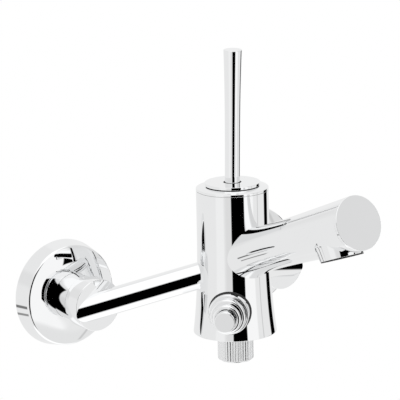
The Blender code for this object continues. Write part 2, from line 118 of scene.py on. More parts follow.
# Diverter, measured outwards from the column's axis
BEZEL_R, BEZEL_TOP, GUIDE_BORE_R = 13.0, 29.3, 9.9
GUIDE_R, GUIDE_STEP, GUIDE_NECK_R, GUIDE_TOP = 11.5, 35.0, 9.3, 40.0
BUTTON_R, BUTTON_FACE = 6.5, 46.8

# Outlet and wall unions
OUTLET_BORE_R = 6.5
THREAD_R, UNION_BORE_R, UNION_DROP = 10.4, 6.5, 5.0

# The dome of light: each patch is its brightness, its azimuths and elevations, and how soft its edges are
DOME_LIGHT = 0.86
PATCHES = (
    (0.76, (31, 112), (-3, 60), 6),
    (0.80, (-180, -50), (12, 32), 8),
    (0.92, (-92, -66), (-30, 5), 6),
    (0.76, (-62, -30), (-30, 5), 12),
    (1.0, (-5, 31), (-28, 45), 5),
    (0.82, (-5, 60), (-55, -30), 8),
    (1.12, (-75, 20), (36, 64), 6),
    (1.12, (-181, 181), (61, 91), 6),
    (1.12, (-181, 181), (-91, -56), 4),
    (0.9, (120, 165), (0, 70), 10),
    (0.62, (47, 50), (-40, 8), 2),
    (0.0, (-42, -3), (-24, 30), 2.5),
    (0.0, (-42, -12), (-48, -20), 5),
    (0.0, (81, 104), (-40, 12), 4),
    (0.0, (27, 35), (-2.5, 6), 1),
    (0.0, (-151.5, -147.5), (-31, -25), 1),
    (0.2, (-139, -126), (-24, -20), 1.5),
    (0.3, (-143, -128), (-34, -31), 1),
)


# Surfaces ------------------------------------------------------------------------------------


def basis(direction):
    """Two unit vectors square to a direction, so that side x up = direction."""
    direction = np.asarray(direction, float) / np.linalg.norm(direction)
    helper = UP if abs(direction[2]) < 0.9 else np.array((1.0, 0.0, 0.0))
    side = np.cross(helper, direction)
    side /= np.linalg.norm(side)
    return side, np.cross(direction, side), direction


def rounded(corners, fillets, steps=6):
    """An outline with its inner corners turned into arcs.

    Each corner C with a fillet of length f is left at C - f along the way in and joined at C + f along the
    way out. Between them lie the points (1-t)^2 A + 2t(1-t) C + t^2 B for t from 0 to 1. One point more,
    a twentieth of f outside each end, keeps the flats flat.
    """
    corners = np.asarray(corners, float)
    outline = [corners[:1]]
    t = np.linspace(0, 1, steps + 1)[:, None]
    for before, corner, after, fillet in zip(corners, corners[1:], corners[2:], fillets):
        if fillet <= 0:
            outline.append(corner[None])
            continue
        back = (before - corner) / np.linalg.norm(before - corner)
        on = (after - corner) / np.linalg.norm(after - corner)
        start, end = corner + back * fillet, corner + on * fillet
        arc = (1 - t) ** 2 * start + 2 * t * (1 - t) * corner + t**2 * end
        outline += [(start + back * fillet / 20)[None], arc, (end + on * fillet / 20)[None]]
    outline.append(corners[-1:])
    return np.concatenate(outline)


def shell(name, rings, made_of, replaces=(), body="faucet"):
    """A closed skin through rings of points, an array of (rings, points, 3).

    Ring i and ring i+1 are joined by quads, and the first and last ring are closed by fans round their
    middle point. Faces are turned so that the volume, the sum of a . (b x c) / 6, is above zero.
    """
    rings = np.asarray(rings, float)
    count, around = rings.shape[:2]
    points = np.concatenate([rings.reshape(-1, 3), rings[:1].mean(1), rings[-1:].mean(1)])
    index = np.arange(count * around).reshape(count, around)
    ahead = np.roll(index, -1, axis=1)
    quads = np.stack([index[:-1], ahead[:-1], ahead[1:], index[1:]], axis=-1).reshape(-1, 4)
    first, last = count * around, count * around + 1
    fans = [np.stack([np.full(around, first), ahead[0], index[0]], axis=-1)]
    fans.append(np.stack([np.full(around, last), index[-1], ahead[-1]], axis=-1))
    return solid(name, points, quads, np.concatenate(fans), made_of, replaces, body)


def hoop(name, rings, made_of, replaces=(), body="faucet"):
    """As shell, but the last ring is joined to the first, as in a ring-shaped piece."""
    rings = np.asarray(rings, float)
    count, around = rings.shape[:2]
    index = np.arange(count * around).reshape(count, around)
    ahead, above = np.roll(index, -1, axis=1), np.roll(index, -1, axis=0)
    quads = np.stack([index, ahead, np.roll(above, -1, axis=1), above], axis=-1).reshape(-1, 4)
    return solid(name, rings.reshape(-1, 3), quads, np.empty((0, 3), int), made_of, replaces, body)


def solid(name, points, quads, triangles, made_of, replaces, body):
    """A piece of the mixer from its points in metres and its faces, turned outwards and given its finish."""
    pieces = np.concatenate([quads[:, [0, 1, 2]], quads[:, [0, 2, 3]], triangles])
    a, b, c = (points[pieces[:, k]] for k in range(3))
    if np.einsum("ij,ij->i", a, np.cross(b, c)).sum() < 0:
        quads, triangles = quads[:, ::-1], triangles[:, ::-1]
    mesh = bpy.data.meshes.new(name)
    mesh.vertices.add(len(points))
    mesh.vertices.foreach_set("co", points.astype(np.float32).ravel())
    corners = np.concatenate([quads.ravel(), triangles.ravel()]).astype(np.int32)
    sizes = np.repeat([4, 3], [len(quads), len(triangles)])
    mesh.loops.add(len(corners))
    mesh.loops.foreach_set("vertex_index", corners)
    mesh.polygons.add(len(sizes))
    mesh.polygons.foreach_set("loop_start", (np.cumsum(sizes) - sizes).astype(np.int32))
    mesh.update(calc_edges=True)
    mesh.validate()
    mesh.shade_smooth()
    mesh.set_sharp_from_angle(angle=math.radians(40))
    mesh.materials.append(finish(made_of))
    piece = bpy.data.objects.new(name, mesh)
    bpy.context.scene.collection.objects.link(piece)
    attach(piece, body)
    if replaces:
        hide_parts(*replaces)
    return piece


def turned_rings(outline, origin, direction, around):
    """Rings of origin + direction h + r (side cos t + up sin t), for the outline's (r, h) in millimetres."""
    side, up, along = basis(direction)
    angle = np.linspace(0, TAU, around, endpoint=False)
    circle = np.cos(angle)[:, None] * side + np.sin(angle)[:, None] * up
    radius, height = np.asarray(outline, float).T[:, :, None, None] * MM
    return np.asarray(origin) + radius * circle + height * along


def turned(name, outline, origin, direction, made_of, replaces=(), around=160, body="faucet"):
    """A turned piece. Its outline starts and ends near the axis, and fans close it there."""
    return shell(name, turned_rings(outline, origin, direction, around), made_of, replaces, body)


def turned_ring(name, outline, origin, direction, made_of, replaces=(), around=160, body="faucet"):
    """A turned piece with a hole: its outline is a loop."""
    return hoop(name, turned_rings(outline, origin, direction, around), made_of, replaces, body)


def outward(points, origin, axis):
    """Unit vectors that point away from the line through the origin along the axis with that number."""
    away = points - origin
    away[..., axis] = 0
    return away / np.linalg.norm(away, axis=-1, keepdims=True)


# Finishes ------------------------------------------------------------------------------------


class Sock:
    """A node socket that can be used in sums. Every operator adds one Math node."""

    def __init__(self, graph, socket):
        self.graph, self.socket = graph, socket

    def math(self, operation, other, swap=False):
        pair = (other, self) if swap else (self, other)
        return self.graph.node("ShaderNodeMath", {"operation": operation}, dict(enumerate(pair)))

    def __add__(self, other):
        return self.math("ADD", other)

    __radd__ = __add__

    def __mul__(self, other):
        return self.math("MULTIPLY", other)

    __rmul__ = __mul__

    def __sub__(self, other):
        return self.math("SUBTRACT", other)

    def __rsub__(self, other):
        return self.math("SUBTRACT", other, swap=True)


class Graph:
    """The node tree of a material or of the world."""

    def __init__(self, owner):
        owner.use_nodes = True
        self.owner, self.tree = owner, owner.node_tree

    def node(self, kind, settings=None, inputs=None, output=0):
        """Adds any node: its settings first, then its inputs by name or number."""
        made = self.tree.nodes.new(kind)
        for key, value in (settings or {}).items():
            setattr(made, key, value)
        for key, value in (inputs or {}).items():
            if isinstance(value, Sock):
                self.tree.links.new(value.socket, made.inputs[key])
            else:
                made.inputs[key].default_value = value
        return Sock(self, made.outputs[output])

    def place(self):
        """Object coordinates, in metres."""
        return self.node("ShaderNodeTexCoord", output=3)

    def noise(self, scale, detail=2.0, roughness=0.5):
        inputs = {"Vector": self.place(), "Scale": scale, "Detail": detail, "Roughness": roughness}
        return self.node("ShaderNodeTexNoise", {"noise_dimensions": "3D"}, inputs)

    def blend(self, factor, first, second):
        """A mix of two colours."""
        inputs = {0: factor, 6: (*first, 1.0), 7: (*second, 1.0)}
        return self.node("ShaderNodeMix", {"data_type": "RGBA"}, inputs, output=2)

    def bump(self, height, distance, strength=1.0):
        inputs = {"Height": height, "Distance": distance, "Strength": strength}
        return self.node("ShaderNodeBump", None, inputs)

    def between(self, value, limits, soft):
        """1 between the limits and 0 outside, with smooth edges of width soft."""
        low, high = limits
        edges = []
        for start, end in ((low - soft / 2, low + soft / 2), (high + soft / 2, high - soft / 2)):
            inputs = {"Value": value, "From Min": start, "From Max": end}
            edges.append(self.node("ShaderNodeMapRange", {"interpolation_type": "SMOOTHSTEP"}, inputs))
        return edges[0] * edges[1]

    def set(self, **sockets):
        """Links or sets the main shader's sockets. An underscore in a name stands for a space."""
        shader = next(node for node in self.tree.nodes if node.type in ("BSDF_PRINCIPLED", "BACKGROUND"))
        for key, value in sockets.items():
            socket = shader.inputs[key.replace("_", " ")]
            if isinstance(value, Sock):
                self.tree.links.new(value.socket, socket)
            else:
                socket.default_value = value
        return self.owner


def material_graph(name):
    return Graph(bpy.data.materials.new(name))


def polished_chrome(looks):
    """Bright plate: faint haze from wiping, and the slow wave that polishing leaves."""
    graph = material_graph("polished_chrome")
    haze = graph.noise(38.0, 4.0, 0.6)
    wipe = graph.noise(900.0, 2.0, 0.5)
    rough = looks.chrome_roughness + 0.02 * haze * wipe
    colour = graph.blend(haze, tuple(looks.chrome_colour), tuple(0.975 * c for c in looks.chrome_colour))
    wave = graph.noise(22.0, 1.0)
    return graph.set(Base_Color=colour, Metallic=1.0, Roughness=rough, Normal=graph.bump(wave, 0.00002, 0.25))


def knurled_chrome(looks):
    """Plate over cut teeth: a little duller, with fine drag marks."""
    graph = material_graph("knurled_chrome")
    grain = graph.noise(2600.0, 3.0, 0.6)
    rough = looks.chrome_roughness + 0.2 + 0.12 * grain
    colour = graph.blend(grain, tuple(looks.chrome_colour), tuple(0.92 * c for c in looks.chrome_colour))
    return graph.set(Base_Color=colour, Metallic=1.0, Roughness=rough, Normal=graph.bump(grain, 0.00002, 0.3))


def machined_brass(looks):
    """Turned brass: fine rings from the tool and a patchy tarnish."""
    graph = material_graph("machined_brass")
    tarnish = graph.noise(160.0, 5.0, 0.6)
    rings = graph.node(
        "ShaderNodeTexWave",
        {"wave_type": "BANDS", "bands_direction": "Y"},
        {"Vector": graph.place(), "Scale": 900.0, "Distortion": 0.6},
        output=1,
    )
    colour = graph.blend(tarnish, tuple(looks.brass_colour), tuple(0.7 * c for c in looks.brass_colour))
    return graph.set(
        Base_Color=colour,
        Metallic=1.0,
        Roughness=0.22 + 0.16 * tarnish,
        Normal=graph.bump(rings, 0.00001, 0.4),
    )


def turned_steel():
    """Steel for the spring and the pin, with a fine grain."""
    graph = material_graph("turned_steel")
    grain = graph.noise(1400.0, 3.0, 0.6)
    colour = graph.blend(grain, (0.66, 0.66, 0.67), (0.5, 0.5, 0.52))
    return graph.set(
        Base_Color=colour,
        Metallic=1.0,
        Roughness=0.2 + 0.15 * grain,
        Normal=graph.bump(grain, 0.00001, 0.3),
    )


def moulded_rubber():
    """Black rubber with a dull bloom in places."""
    graph = material_graph("moulded_rubber")
    bloom = graph.noise(420.0, 4.0, 0.7)
    colour = graph.blend(bloom, (0.018, 0.018, 0.019), (0.05, 0.05, 0.05))
    return graph.set(Base_Color=colour, Roughness=0.62 + 0.2 * bloom, Normal=graph.bump(bloom, 0.00003, 0.4))


def moulded_plastic(name, light, dark):
    """Satin plastic whose grain runs between two shades."""
    graph = material_graph(name)
    grain = graph.noise(1100.0, 3.0, 0.6)
    return graph.set(
        Base_Color=graph.blend(grain, light, dark),
        Roughness=0.38 + 0.12 * grain,
        Normal=graph.bump(grain, 0.00002, 0.3),
    )


def lapped_ceramic():
    """Ivory ceramic, lapped smooth, with faint specks."""
    graph = material_graph("lapped_ceramic")
    speck = graph.noise(2200.0, 4.0, 0.7)
    colour = graph.blend(speck, (0.92, 0.9, 0.85), (0.82, 0.8, 0.74))
    return graph.set(Base_Color=colour, Roughness=0.12 + 0.1 * speck)


FINISHES = {}


def finish(name):
    """The finish of that name, made once."""
    if name not in FINISHES:
        looks = bpy.context.scene.mixer_finishes
        makers = {
            "chrome": lambda: polished_chrome(looks),
            "knurl": lambda: knurled_chrome(looks),
            "brass": lambda: machined_brass(looks),
            "steel": turned_steel,
            "rubber": moulded_rubber,
            "grey_plastic": lambda: moulded_plastic("grey_plastic", (0.36, 0.37, 0.39), (0.28, 0.29, 0.31)),
            "white_plastic": lambda: moulded_plastic("white_plastic", (0.86, 0.87, 0.86), (0.74, 0.75, 0.74)),
            "ceramic": lapped_ceramic,
        }
        FINISHES[name] = makers[name]()
    return FINISHES[name]


# Properties ----------------------------------------------------------------------------------


class MixerFinishes(bpy.types.PropertyGroup):
    chrome_colour: FloatVectorProperty(
        name="Chrome",
        description="Colour of the plate",
        subtype="COLOR",
        default=(0.93, 0.935, 0.94),
        min=0,
        max=1,
    )
    chrome_roughness: FloatProperty(
        name="Chrome roughness", description="Roughness of the cleanest plate", default=0.012, min=0, max=1
    )
    brass_colour: FloatVectorProperty(
        name="Brass",
        description="Colour of clean brass",
        subtype="COLOR",
        default=(0.78, 0.6, 0.3),
        min=0,
        max=1,
    )


class MixerSizes(bpy.types.PropertyGroup):
    edge: FloatProperty(
        name="Edge",
        description="Rounding of the drum's front edge",
        unit="LENGTH",
        default=0.0005,
        min=0.0001,
        max=0.001,
    )
    teeth: IntProperty(
        name="Knurl teeth", description="Teeth round the shower outlet", default=38, min=12, max=90
    )
    tooth_depth: FloatProperty(
        name="Knurl depth", description="Depth of a tooth", unit="LENGTH", default=0.00035, min=0, max=0.002
    )
    thread_pitch: FloatProperty(
        name="Thread pitch",
        description="Pitch of the wall threads",
        unit="LENGTH",
        default=0.0018,
        min=0.001,
        max=0.004,
    )
    thread_depth: FloatProperty(
        name="Thread depth",
        description="Depth of the wall threads",
        unit="LENGTH",
        default=0.0011,
        min=0,
        max=0.002,
    )


class MixerStage(bpy.types.PropertyGroup):
    azimuth: FloatProperty(
        name="Azimuth",
        description="Camera's turn round the mixer",
        subtype="ANGLE",
        default=math.radians(-36.16),
    )
    elevation: FloatProperty(
        name="Elevation", description="Camera's height angle", subtype="ANGLE", default=math.radians(13.45)
    )
    roll: FloatProperty(
        name="Roll", description="Camera's roll", subtype="ANGLE", default=math.radians(1.41)
    )
    distance: FloatProperty(
        name="Distance", description="From the camera to its target", unit="LENGTH", default=1.580, min=0.3
    )
    target: FloatVectorProperty(
        name="Target",
        description="Point in the middle of the picture",
        subtype="XYZ",
        default=(-0.00545, -0.06, 0.06063),
    )
    lens: FloatProperty(name="Lens", description="Focal length in millimetres", default=221.96, min=20)
    floor: FloatProperty(name="Floor", description="Height of the floor", unit="LENGTH", default=-0.5)


# Operators -----------------------------------------------------------------------------------


def across(name):
    """Half the width of a node, in millimetres."""
    low, high = node_box(name)
    return (high[0] - low[0]) / 2 / MM


def inlet_origin(side):
    """The point on the wall that the flange, the nut and the drum stand round."""
    middle = node_middle(f"wall_flange_{side}")
    return np.array((middle[0], 0.0, middle[2]))


class MIXER_OT_wall_covers(bpy.types.Operator):
    """The two wall flanges, the sleeve nuts and the drums"""

    bl_idname = "mixer.wall_covers"
    bl_label = "Wall covers"

    def execute(self, context):
        for side in ("left", "right"):
            inlet = inlet_origin(side)
            self.flange(side, inlet)
            self.nut(side, inlet)
            self.drum(side, inlet, context.scene.mixer_sizes.edge / MM)
        return {"FINISHED"}

    def flange(self, side, inlet):
        """A straight side, a rounded rim, and a dome that drops by c (r - r0)^2 from the nut outwards."""
        node = f"wall_flange_{side}"
        side_r, front = across(node), -node_box(node)[0][1] / MM
        hole = across(f"union_nut_{side}") + 0.03
        radii = np.linspace(side_r - RIM_STEP, hole, 30)
        dome = np.stack([radii, front - DOME * (radii - hole) ** 2], axis=1)
        back = (side_r - FLANGE_WALL, 0.0)
        rim = rounded([back, (side_r, 0.0), dome[0], dome[3]], [0.25, 1.3], 12)
        inner = rounded([dome[-1] - (0, FLANGE_WALL), dome[0] - (1.5, FLANGE_WALL), back], [0.5])
        outline = np.concatenate([rim[:-1], dome[3:], inner[:-1]])
        turned_ring(f"flange_{side}", outline, inlet, OUT, "chrome", (node,), 192)

    def nut(self, side, inlet):
        node = f"union_nut_{side}"
        low, high = node_box(node)
        start, end = -high[1] / MM, -low[1] / MM
        corners = [
            (NUT_BORE_R, start),
            (across(node) - NECK_TAPER, start),
            (across(node) + NECK_TAPER, end),
            (TAIL_R + 0.3, end),
            (NUT_BORE_R, start),
        ]
        outline = rounded(corners, [0.4, 0.4, 0.2])[:-1]
        turned_ring(f"sleeve_nut_{side}", outline, inlet, OUT, "chrome", (node,), 192)

    def drum(self, side, inlet, edge):
        """The drum and the start of its tail, which runs back inside the nut."""
        node = f"inlet_boss_{side}"
        radius, face = across(node), -node_box(node)[0][1] / MM
        back = face - DRUM_DEPTH
        corners = [
            (PIN, back - TAIL_SHOWN),
            (TAIL_R, back - TAIL_SHOWN),
            (TAIL_R, back),
            (radius, back),
            (radius, face),
            (PIN, face),
        ]
        outline = rounded(corners, [0, 0, 0.4, edge])
        turned(f"drum_{side}", outline, inlet, OUT, "chrome", (node,), 192)


class MIXER_OT_supply_arms(bpy.types.Operator):
    """The two straight tubes that carry the body"""

    bl_idname = "mixer.supply_arms"
    bl_label = "Supply arms"

    def execute(self, context):
        for side in ("left", "right"):
            self.arm(side)
        return {"FINISHED"}

    def arm(self, side):
        """Rings of start + a s + r(t), where r(t) is the arm's circle.

        The first ring lies in the plane of the drum's face, so there a = -(r(t) . out) / (s . out).
        """
        start = inlet_origin(side)
        start[1] = node_box(f"inlet_boss_{side}")[0][1]
        end = np.array((0.0, BODY_AXIS[1], start[2] + ARM_CLIMB * MM))
        length = np.linalg.norm(end - start)
        along = (end - start) / length
        right, up, _ = basis(along)
        angle = np.linspace(0, TAU, 128, endpoint=False)
        circle = ARM_R * MM * (np.cos(angle)[:, None] * right + np.sin(angle)[:, None] * up)
        first = -circle @ OUT / (along @ OUT) - 0.1 * MM
        last = length - ARM_SHORT * MM
        reach = first + (last - first) * np.linspace(0, 1, 12)[:, None]
        rings = start + reach[..., None] * along + circle
        shell(f"arm_{side}", rings, "chrome", (f"supply_arm_{side}",))


def column_radius(level):
    """r = r0 + (r1 - r0) u^3.5, where u runs from 0 at the top to 1 at the foot."""
    low, high = node_box("mixer_body")
    foot_r, top_r = across("mixer_body"), across("cap_ring")
    down = (high[2] / MM - level) / ((high[2] - low[2]) / MM)
    return top_r + (foot_r - top_r) * np.clip(down, 0, 1) ** 3.5


class MIXER_OT_column(bpy.types.Operator):
    """The flared body and the cap ring on top of it"""

    bl_idname = "mixer.column"
    bl_label = "Body and cap ring"

    def execute(self, context):
        self.body()
        self.cap()
        return {"FINISHED"}

    def body(self):
        """The flared side between a shallow recess under the cap ring and the socket of the outlet."""
        low, high = node_box("mixer_body")
        top, foot = high[2] / MM, low[2] / MM
        recess_r, floor = across("cap_ring") - 2.0, top - RECESS
        levels = np.linspace(top, foot, 70)
        side = np.stack([column_radius(levels), levels], axis=1)
        head = rounded([(PIN, floor), (recess_r, floor), (recess_r, top), side[0], side[1]], [0, 0, 0.12])
        socket = [(SOCKET_R, foot), (SOCKET_R, foot + SOCKET), (PIN, foot + SOCKET)]
        tail = rounded([side[-2], side[-1], *socket], [0.5, 0.3, 0])
        outline = np.concatenate([head[:-1], side[1:-1], tail[1:]])
        turned("column", outline, BODY_AXIS, UP, "chrome", ("mixer_body",), 256)

    def cap(self):
        """A ring with a flat shelf under the cover disc and a slope from there to its rim."""
        radius, top = across("cap_ring"), node_box("cap_ring")[1][2] / MM
        seam = node_box("mixer_body")[1][2] / MM + 0.12
        corners = [
            (19.0, seam),
            (radius, seam),
            (radius, top - 1.2),
            (SHELF_R, top),
            (CAP_HOLE_R, top),
            (CAP_HOLE_R, top - 1.4),
            (17.0, top - 2.0),
            (19.0, seam),
        ]
        outline = rounded(corners, [0.12, 0.3, 0.3, 0.2, 0.2, 0])[:-1]
        turned_ring("cap", outline, BODY_AXIS, UP, "chrome", ("cap_ring",), 256)


class MIXER_OT_lever(bpy.types.Operator):
    """The joystick lever and its cover disc"""

    bl_idname = "mixer.lever"
    bl_label = "Lever and cover disc"

    def execute(self, context):
        self.stick()
        self.disc()
        return {"FINISHED"}

    def stick(self):
        """r = r0 + (r1 - r0) u^3.2, where u runs from 0 at the foot to 1 at the tip."""
        lean = math.radians(LEVER_LEAN)
        along = np.array((0.0, -math.sin(lean), math.cos(lean)))
        up = np.linspace(0, 1, 60)
        heights = LEVER_START + (LEVER_END - LEVER_START) * up
        side = np.stack([LEVER_R + (LEVER_TIP_R - LEVER_R) * up**3.2, heights], axis=1)
        head = rounded([side[-2], side[-1], (PIN, LEVER_END)], [0.45], 8)
        outline = np.concatenate([[(PIN, LEVER_START)], side[:-1], head[1:]])
        turned("stick", outline, PIVOT, along, "chrome", ("lever_rod",), 128, "lever")

    def disc(self):
        low, high = node_box("cover_disc")
        origin = node_middle("cover_disc") * (1, 1, 0)
        radius, bottom, top = across("cover_disc"), low[2] / MM, high[2] / MM
        corners = [(6.0, bottom), (radius, bottom), (radius, top), (5.7, top), (5.7, bottom)]
        outline = rounded(corners, [0.25, 0.35, 0.25])
        turned_ring("lever_disc", outline, origin, UP, "chrome", ("cover_disc",), 192, "cover")


def spout_radius(at):
    """A straight taper from the end plate back, plus 5 e^((15 - s) / 16) for the flare at the root."""
    return SPOUT_END_R - 0.038 * (SPOUT_LENGTH - at) + 5.0 * np.exp((15.0 - at) / 16.0)


class MIXER_OT_spout(bpy.types.Operator):
    """The tapered spout and its end plate"""

    bl_idname = "mixer.spout"
    bl_label = "Spout"

    def execute(self, context):
        self.tube()
        self.plate()
        return {"FINISHED"}

    def tube(self):
        seam = SPOUT_LENGTH - PLATE
        at = SPOUT_START + (seam - SPOUT_START) * np.linspace(0, 1, 90) ** 1.2
        side = np.stack([spout_radius(at), at], axis=1)
        end = rounded([side[-2], side[-1], (PLATE_SEAT_R, seam)], [0.12])
        outline = np.concatenate([[(PIN, SPOUT_START)], side[:-1], end[1:], [(PIN, seam)]])
        turned("spout", outline, SPOUT_FOOT, SPOUT_ALONG, "chrome", ("spout_tube",), 256)

    def plate(self):
        """A flat disc, one seam wide off the tube, with a plug that reaches into it."""
        seam = SPOUT_LENGTH - PLATE + 0.08
        plug_r = PLATE_SEAT_R - 0.1
        corners = [
            (PIN, seam - 2.0),
            (plug_r, seam - 2.0),
            (plug_r, seam),
            (SPOUT_END_R - 0.04, seam),
            (SPOUT_END_R, SPOUT_LENGTH),
            (PIN, SPOUT_LENGTH),
        ]
        outline = rounded(corners, [0, 0, 0.12, 0.5], 8)
        turned("spout_plate", outline, SPOUT_FOOT, SPOUT_ALONG, "chrome", ("spout_end_plate",), 256)


class MIXER_OT_aerator(bpy.types.Operator):
    """The collar under the spout's end, its dark lip, and the honeycomb insert in it"""

    bl_idname = "mixer.aerator"
    bl_label = "Aerator"

    def execute(self, context):
        origin = SPOUT_FOOT + SPOUT_ALONG * JET_AT * MM
        self.collar(origin)
        self.lip(origin)
        self.insert(origin)
        return {"FINISHED"}

    def collar(self, origin):
        inner, foot, edge = COLLAR_BORE_R, 6.0, COLLAR_END - 0.6
        outside = [(15.0, foot), (15.0, foot + 2.0), (13.5, edge)]
        outline = rounded([(inner, foot), *outside, (inner, edge), (inner, foot)], [0, 0.8, 0.15, 0.1])[:-1]
        turned_ring("aerator_collar", outline, origin, JET, "chrome", ("aerator_housing",))

    def lip(self, origin):
        inner, start = COLLAR_BORE_R, COLLAR_END - 0.55
        corners = [(inner, start), (13.2, start), (13.2, COLLAR_END), (inner, COLLAR_END), (inner, start)]
        turned_ring("aerator_lip", rounded(corners, [0.1, 0.15, 0.1])[:-1], origin, JET, "rubber")

    def insert(self, origin):
        """A disc whose face is pressed into hexagonal cells.

        A grid (u, v) is carried onto the disc, and a point's depth is a smooth step of its distance to the
        nearest cell wall. The distance is 1 - 2 max |q . n| over the three directions n of a hexagon.
        """
        radius, pitch, face_at = 10.9, 2.3, 17.4
        row = pitch * math.sqrt(3)
        ring = np.linspace(0, 1, 181)[1:, None]
        angle = np.linspace(0, TAU, 240, endpoint=False)[None, :]
        x, y = radius * ring * np.cos(angle), radius * ring * np.sin(angle)
        wall = np.full(x.shape, 1.0)
        for shift in ((0.0, 0.0), (pitch / 2, row / 2)):
            qx = (x - shift[0] + pitch / 2) % pitch - pitch / 2
            qy = (y - shift[1] + row / 2) % row - row / 2
            reach = np.maximum(np.abs(qx), np.abs(qx / 2 + qy * math.sqrt(3) / 2))
            reach = np.maximum(reach, np.abs(qx / 2 - qy * math.sqrt(3) / 2)) / (pitch / 2)
            wall = np.minimum(wall, reach)
        inside = np.clip((0.86 - wall) / 0.12, 0, 1)
        fade = np.clip((radius - 0.9 - np.hypot(x, y)) / 0.4, 0, 1)
        depth = 1.6 * inside**2 * (3 - 2 * inside) * fade
        side, up, along = basis(JET)
        face = origin + (x[..., None] * side + y[..., None] * up + (face_at - depth)[..., None] * along) * MM
        back = turned_rings([(radius, 17.0), (radius, 12.0), (PIN, 12.0)], origin, JET, 240)
        shell("aerator_screen", np.concatenate([face, back]), "white_plastic", ("aerator_insert",))


class MIXER_OT_diverter(bpy.types.Operator):
    """The stepped rings of the diverter, the black ring under them that paints the shadow gap against the column,
    and the push button
    """

    bl_idname = "mixer.diverter"
    bl_label = "Diverter"

    def execute(self, context):
        foot = np.array((0.0, BODY_AXIS[1], node_middle("diverter_button")[2]))
        self.bezel(foot)
        self.shadow_ring(foot)
        self.guide(foot)
        self.button(foot)
        return {"FINISHED"}

    def bezel(self, foot):
        corners = [
            (GUIDE_BORE_R, 18.0),
            (BEZEL_R, 18.0),
            (BEZEL_R, BEZEL_TOP),
            (GUIDE_BORE_R, BEZEL_TOP),
            (GUIDE_BORE_R, 18.0),
        ]
        outline = rounded(corners, [0, 1.2, 0.2], 10)[:-1]
        turned_ring("bezel", outline, foot, -PUSH, "chrome", ("diverter_bezel",))

    def shadow_ring(self, foot):
        """A thin black ring on the column round the bezel: painted shade for the dark shadow gap between bezel and
        column.

        At angle a and radius r it stands at the height h = sqrt(R^2 - (r cos a)^2), where R is the column's
        radius at that level.
        """
        angle = np.linspace(0, TAU, 160, endpoint=False)
        side, up, along = basis(-PUSH)
        rings = []
        for widening, lift in ((-0.2, -0.8), (-0.2, 0.5), (0.3, 0.6), (0.7, 0.4), (0.8, -0.8)):
            sideways = (BEZEL_R + widening) * np.cos(angle)
            rise = (BEZEL_R + widening) * np.sin(angle)
            height = np.sqrt(column_radius(foot[2] / MM + rise) ** 2 - sideways**2) + lift
            offset = sideways[:, None] * side + rise[:, None] * up + height[:, None] * along
            rings.append(foot + offset * MM)
        # painted shade: the black rubber finish on this ring stands for the shadow in the gap round the bezel
        hoop("bezel_shadow_ring", rings, "rubber")

    def guide(self, foot):
        """Two steps, each with a rounded shoulder, round the hole for the button."""
        shank_r, button_hole = GUIDE_BORE_R - 0.2, BUTTON_R + 0.3
        corners = [
            (shank_r, 20.0),
            (shank_r, BEZEL_TOP + 0.1),
            (GUIDE_R, BEZEL_TOP + 0.1),
            (GUIDE_R, GUIDE_STEP),
            (GUIDE_NECK_R, GUIDE_STEP),
            (GUIDE_NECK_R, GUIDE_TOP),
            (button_hole, GUIDE_TOP),
            (button_hole, 30.0),
        ]
        outline = rounded(corners, [0, 0.15, 1.9, 0, 2.0, 0.2], 10)
        turned_ring("guide", outline, foot, -PUSH, "chrome", ("diverter_guide",))

    def button(self, foot):
        """A button with a collar at its back that keeps it in the guide."""
        start, step, face = 33.9, 36.0, BUTTON_FACE
        corners = [(PIN, start), (7.8, start), (7.8, step), (BUTTON_R, step), (BUTTON_R, face), (PIN, face)]
        outline = rounded(corners, [0.2, 0.2, 0, 0.5], 8)
        turned("push_button", outline, foot, -PUSH, "chrome", ("diverter_button",), 128, "diverter")


class MIXER_OT_outlet(bpy.types.Operator):
    """The knurled shower outlet"""

    bl_idname = "mixer.outlet"
    bl_label = "Shower outlet"

    def execute(self, context):
        """Turned rings whose radius loses depth |sin(n t / 2)|^3 on the knurled stretch, a row of grooves."""
        sizes = context.scene.mixer_sizes
        radius, bottom = across("shower_outlet"), node_box("shower_outlet")[0][2] / MM
        top, edge = node_box("mixer_body")[0][2] / MM - 0.1, bottom + 0.8
        corners = [
            (OUTLET_BORE_R, top + 4.0),
            (9.0, top + 4.0),
            (9.0, top),
            (radius, top),
            (radius, edge),
            (10.0, edge),
            (10.0, bottom),
            (OUTLET_BORE_R, bottom),
            (OUTLET_BORE_R, top + 4.0),
        ]
        outline = rounded(corners, [0, 0, 0.5, 0.7, 0, 0.3, 0.3])[:-1]
        steps = zip(outline, np.roll(outline, -1, axis=0))
        outline = np.concatenate([np.linspace(a, b, 4, endpoint=False) for a, b in steps])
        around = sizes.teeth * 14
        rings = turned_rings(outline, BODY_AXIS, UP, around)
        angle = np.linspace(0, TAU, around, endpoint=False)
        groove = np.abs(np.sin(sizes.teeth * angle / 2)) ** 3 * sizes.tooth_depth
        keep = np.clip(outline[:, 0] - radius + 1.0, 0, 1)[:, None]
        rings = rings - (keep * groove)[..., None] * outward(rings, BODY_AXIS, 2)
        hoop("outlet", rings, "knurl", ("shower_outlet",))
        return {"FINISHED"}


